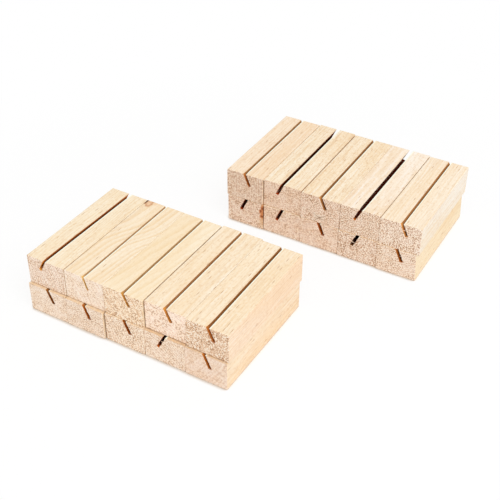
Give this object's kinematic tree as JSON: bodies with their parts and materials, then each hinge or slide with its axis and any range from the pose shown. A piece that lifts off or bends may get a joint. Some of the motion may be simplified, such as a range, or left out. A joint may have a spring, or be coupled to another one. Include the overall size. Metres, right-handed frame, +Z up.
{
  "type": "slotted wooden card and memo holder set",
  "caption": "Slotted pine bars that hold cards, photos or memos upright, put away as two stacks of two layers; each bar has a slanting saw kerf along its top.",
  "frame": {"origin": "on the table, at the middle of the box that both stacks fill", "axes": "+Z up; the holders' front ends face -Y, and the left stack's holders run along Y"},
  "size_m": [0.2272, 0.2732, 0.0469],
  "materials": {
    "pine_pale": "bare, fine sawn",
    "pine_flamed": "bare, fine sawn",
    "pine_warm": "bare, fine sawn"
  },
  "bodies": {
    "left_bottom_1": {"holder_left_bottom_1": "pine_pale"},
    "left_bottom_2": {"holder_left_bottom_2": "pine_pale"},
    "left_bottom_3": {"holder_left_bottom_3": "pine_pale"},
    "left_bottom_4": {"holder_left_bottom_4": "pine_pale"},
    "left_bottom_5": {"holder_left_bottom_5": "pine_pale"},
    "left_top_1": {"holder_left_top_1": "pine_pale"},
    "left_top_2": {"holder_left_top_2": "pine_flamed"},
    "left_top_3": {"holder_left_top_3": "pine_flamed"},
    "left_top_4": {"holder_left_top_4": "pine_pale"},
    "left_top_5": {"holder_left_top_5": "pine_pale"},
    "right_bottom_1": {"holder_right_bottom_1": "pine_warm"},
    "right_bottom_2": {"holder_right_bottom_2": "pine_warm"},
    "right_bottom_3": {"holder_right_bottom_3": "pine_warm"},
    "right_bottom_4": {"holder_right_bottom_4": "pine_warm"},
    "right_bottom_5": {"holder_right_bottom_5": "pine_warm"},
    "right_top_1": {"holder_right_top_1": "pine_warm"},
    "right_top_2": {"holder_right_top_2": "pine_warm"},
    "right_top_3": {"holder_right_top_3": "pine_warm"},
    "right_top_4": {"holder_right_top_4": "pine_warm"},
    "right_top_5": {"holder_right_top_5": "pine_warm"}
  },
  "joints": [
    {"name": "draw_left_bottom_1", "type": "slide", "parent": "left_bottom_3", "child": "left_bottom_1", "axis": [0, -1, 0], "range_m": [0, 0.11]},
    {"name": "draw_left_bottom_2", "type": "slide", "parent": "left_bottom_3", "child": "left_bottom_2", "axis": [0, -1, 0], "range_m": [0, 0.11]},
    {"name": "draw_left_bottom_4", "type": "slide", "parent": "left_bottom_3", "child": "left_bottom_4", "axis": [0, -1, 0], "range_m": [0, 0.11]},
    {"name": "draw_left_bottom_5", "type": "slide", "parent": "left_bottom_3", "child": "left_bottom_5", "axis": [0, -1, 0], "range_m": [0, 0.11]},
    {"name": "lift_left_top_1", "type": "slide", "parent": "left_bottom_1", "child": "left_top_1", "axis": [0, 0, 1], "range_m": [0, 0.05]},
    {"name": "lift_left_top_2", "type": "slide", "parent": "left_bottom_2", "child": "left_top_2", "axis": [0, 0, 1], "range_m": [0, 0.05]},
    {"name": "lift_left_top_3", "type": "slide", "parent": "left_bottom_3", "child": "left_top_3", "axis": [0, 0, 1], "range_m": [0, 0.05]},
    {"name": "lift_left_top_4", "type": "slide", "parent": "left_bottom_4", "child": "left_top_4", "axis": [0, 0, 1], "range_m": [0, 0.05]},
    {"name": "lift_left_top_5", "type": "slide", "parent": "left_bottom_5", "child": "left_top_5", "axis": [0, 0, 1], "range_m": [0, 0.05]},
    {"name": "draw_right_bottom_1", "type": "slide", "parent": "left_bottom_3", "child": "right_bottom_1", "axis": [-0.014, 0.9999, 0], "range_m": [0, 0.11]},
    {"name": "draw_right_bottom_2", "type": "slide", "parent": "left_bottom_3", "child": "right_bottom_2", "axis": [-0.014, 0.9999, 0], "range_m": [0, 0.11]},
    {"name": "draw_right_bottom_3", "type": "slide", "parent": "left_bottom_3", "child": "right_bottom_3", "axis": [-0.014, 0.9999, 0], "range_m": [0, 0.11]},
    {"name": "draw_right_bottom_4", "type": "slide", "parent": "left_bottom_3", "child": "right_bottom_4", "axis": [-0.014, 0.9999, 0], "range_m": [0, 0.11]},
    {"name": "draw_right_bottom_5", "type": "slide", "parent": "left_bottom_3", "child": "right_bottom_5", "axis": [-0.014, 0.9999, 0], "range_m": [0, 0.11]},
    {"name": "lift_right_top_1", "type": "slide", "parent": "right_bottom_1", "child": "right_top_1", "axis": [0, 0, 1], "range_m": [0, 0.05]},
    {"name": "lift_right_top_2", "type": "slide", "parent": "right_bottom_2", "child": "right_top_2", "axis": [0, 0, 1], "range_m": [0, 0.05]},
    {"name": "lift_right_top_3", "type": "slide", "parent": "right_bottom_3", "child": "right_top_3", "axis": [0, 0, 1], "range_m": [0, 0.05]},
    {"name": "lift_right_top_4", "type": "slide", "parent": "right_bottom_4", "child": "right_top_4", "axis": [0, 0, 1], "range_m": [0, 0.05]},
    {"name": "lift_right_top_5", "type": "slide", "parent": "right_bottom_5", "child": "right_top_5", "axis": [0, 0, 1], "range_m": [0, 0.05]}
  ]
}
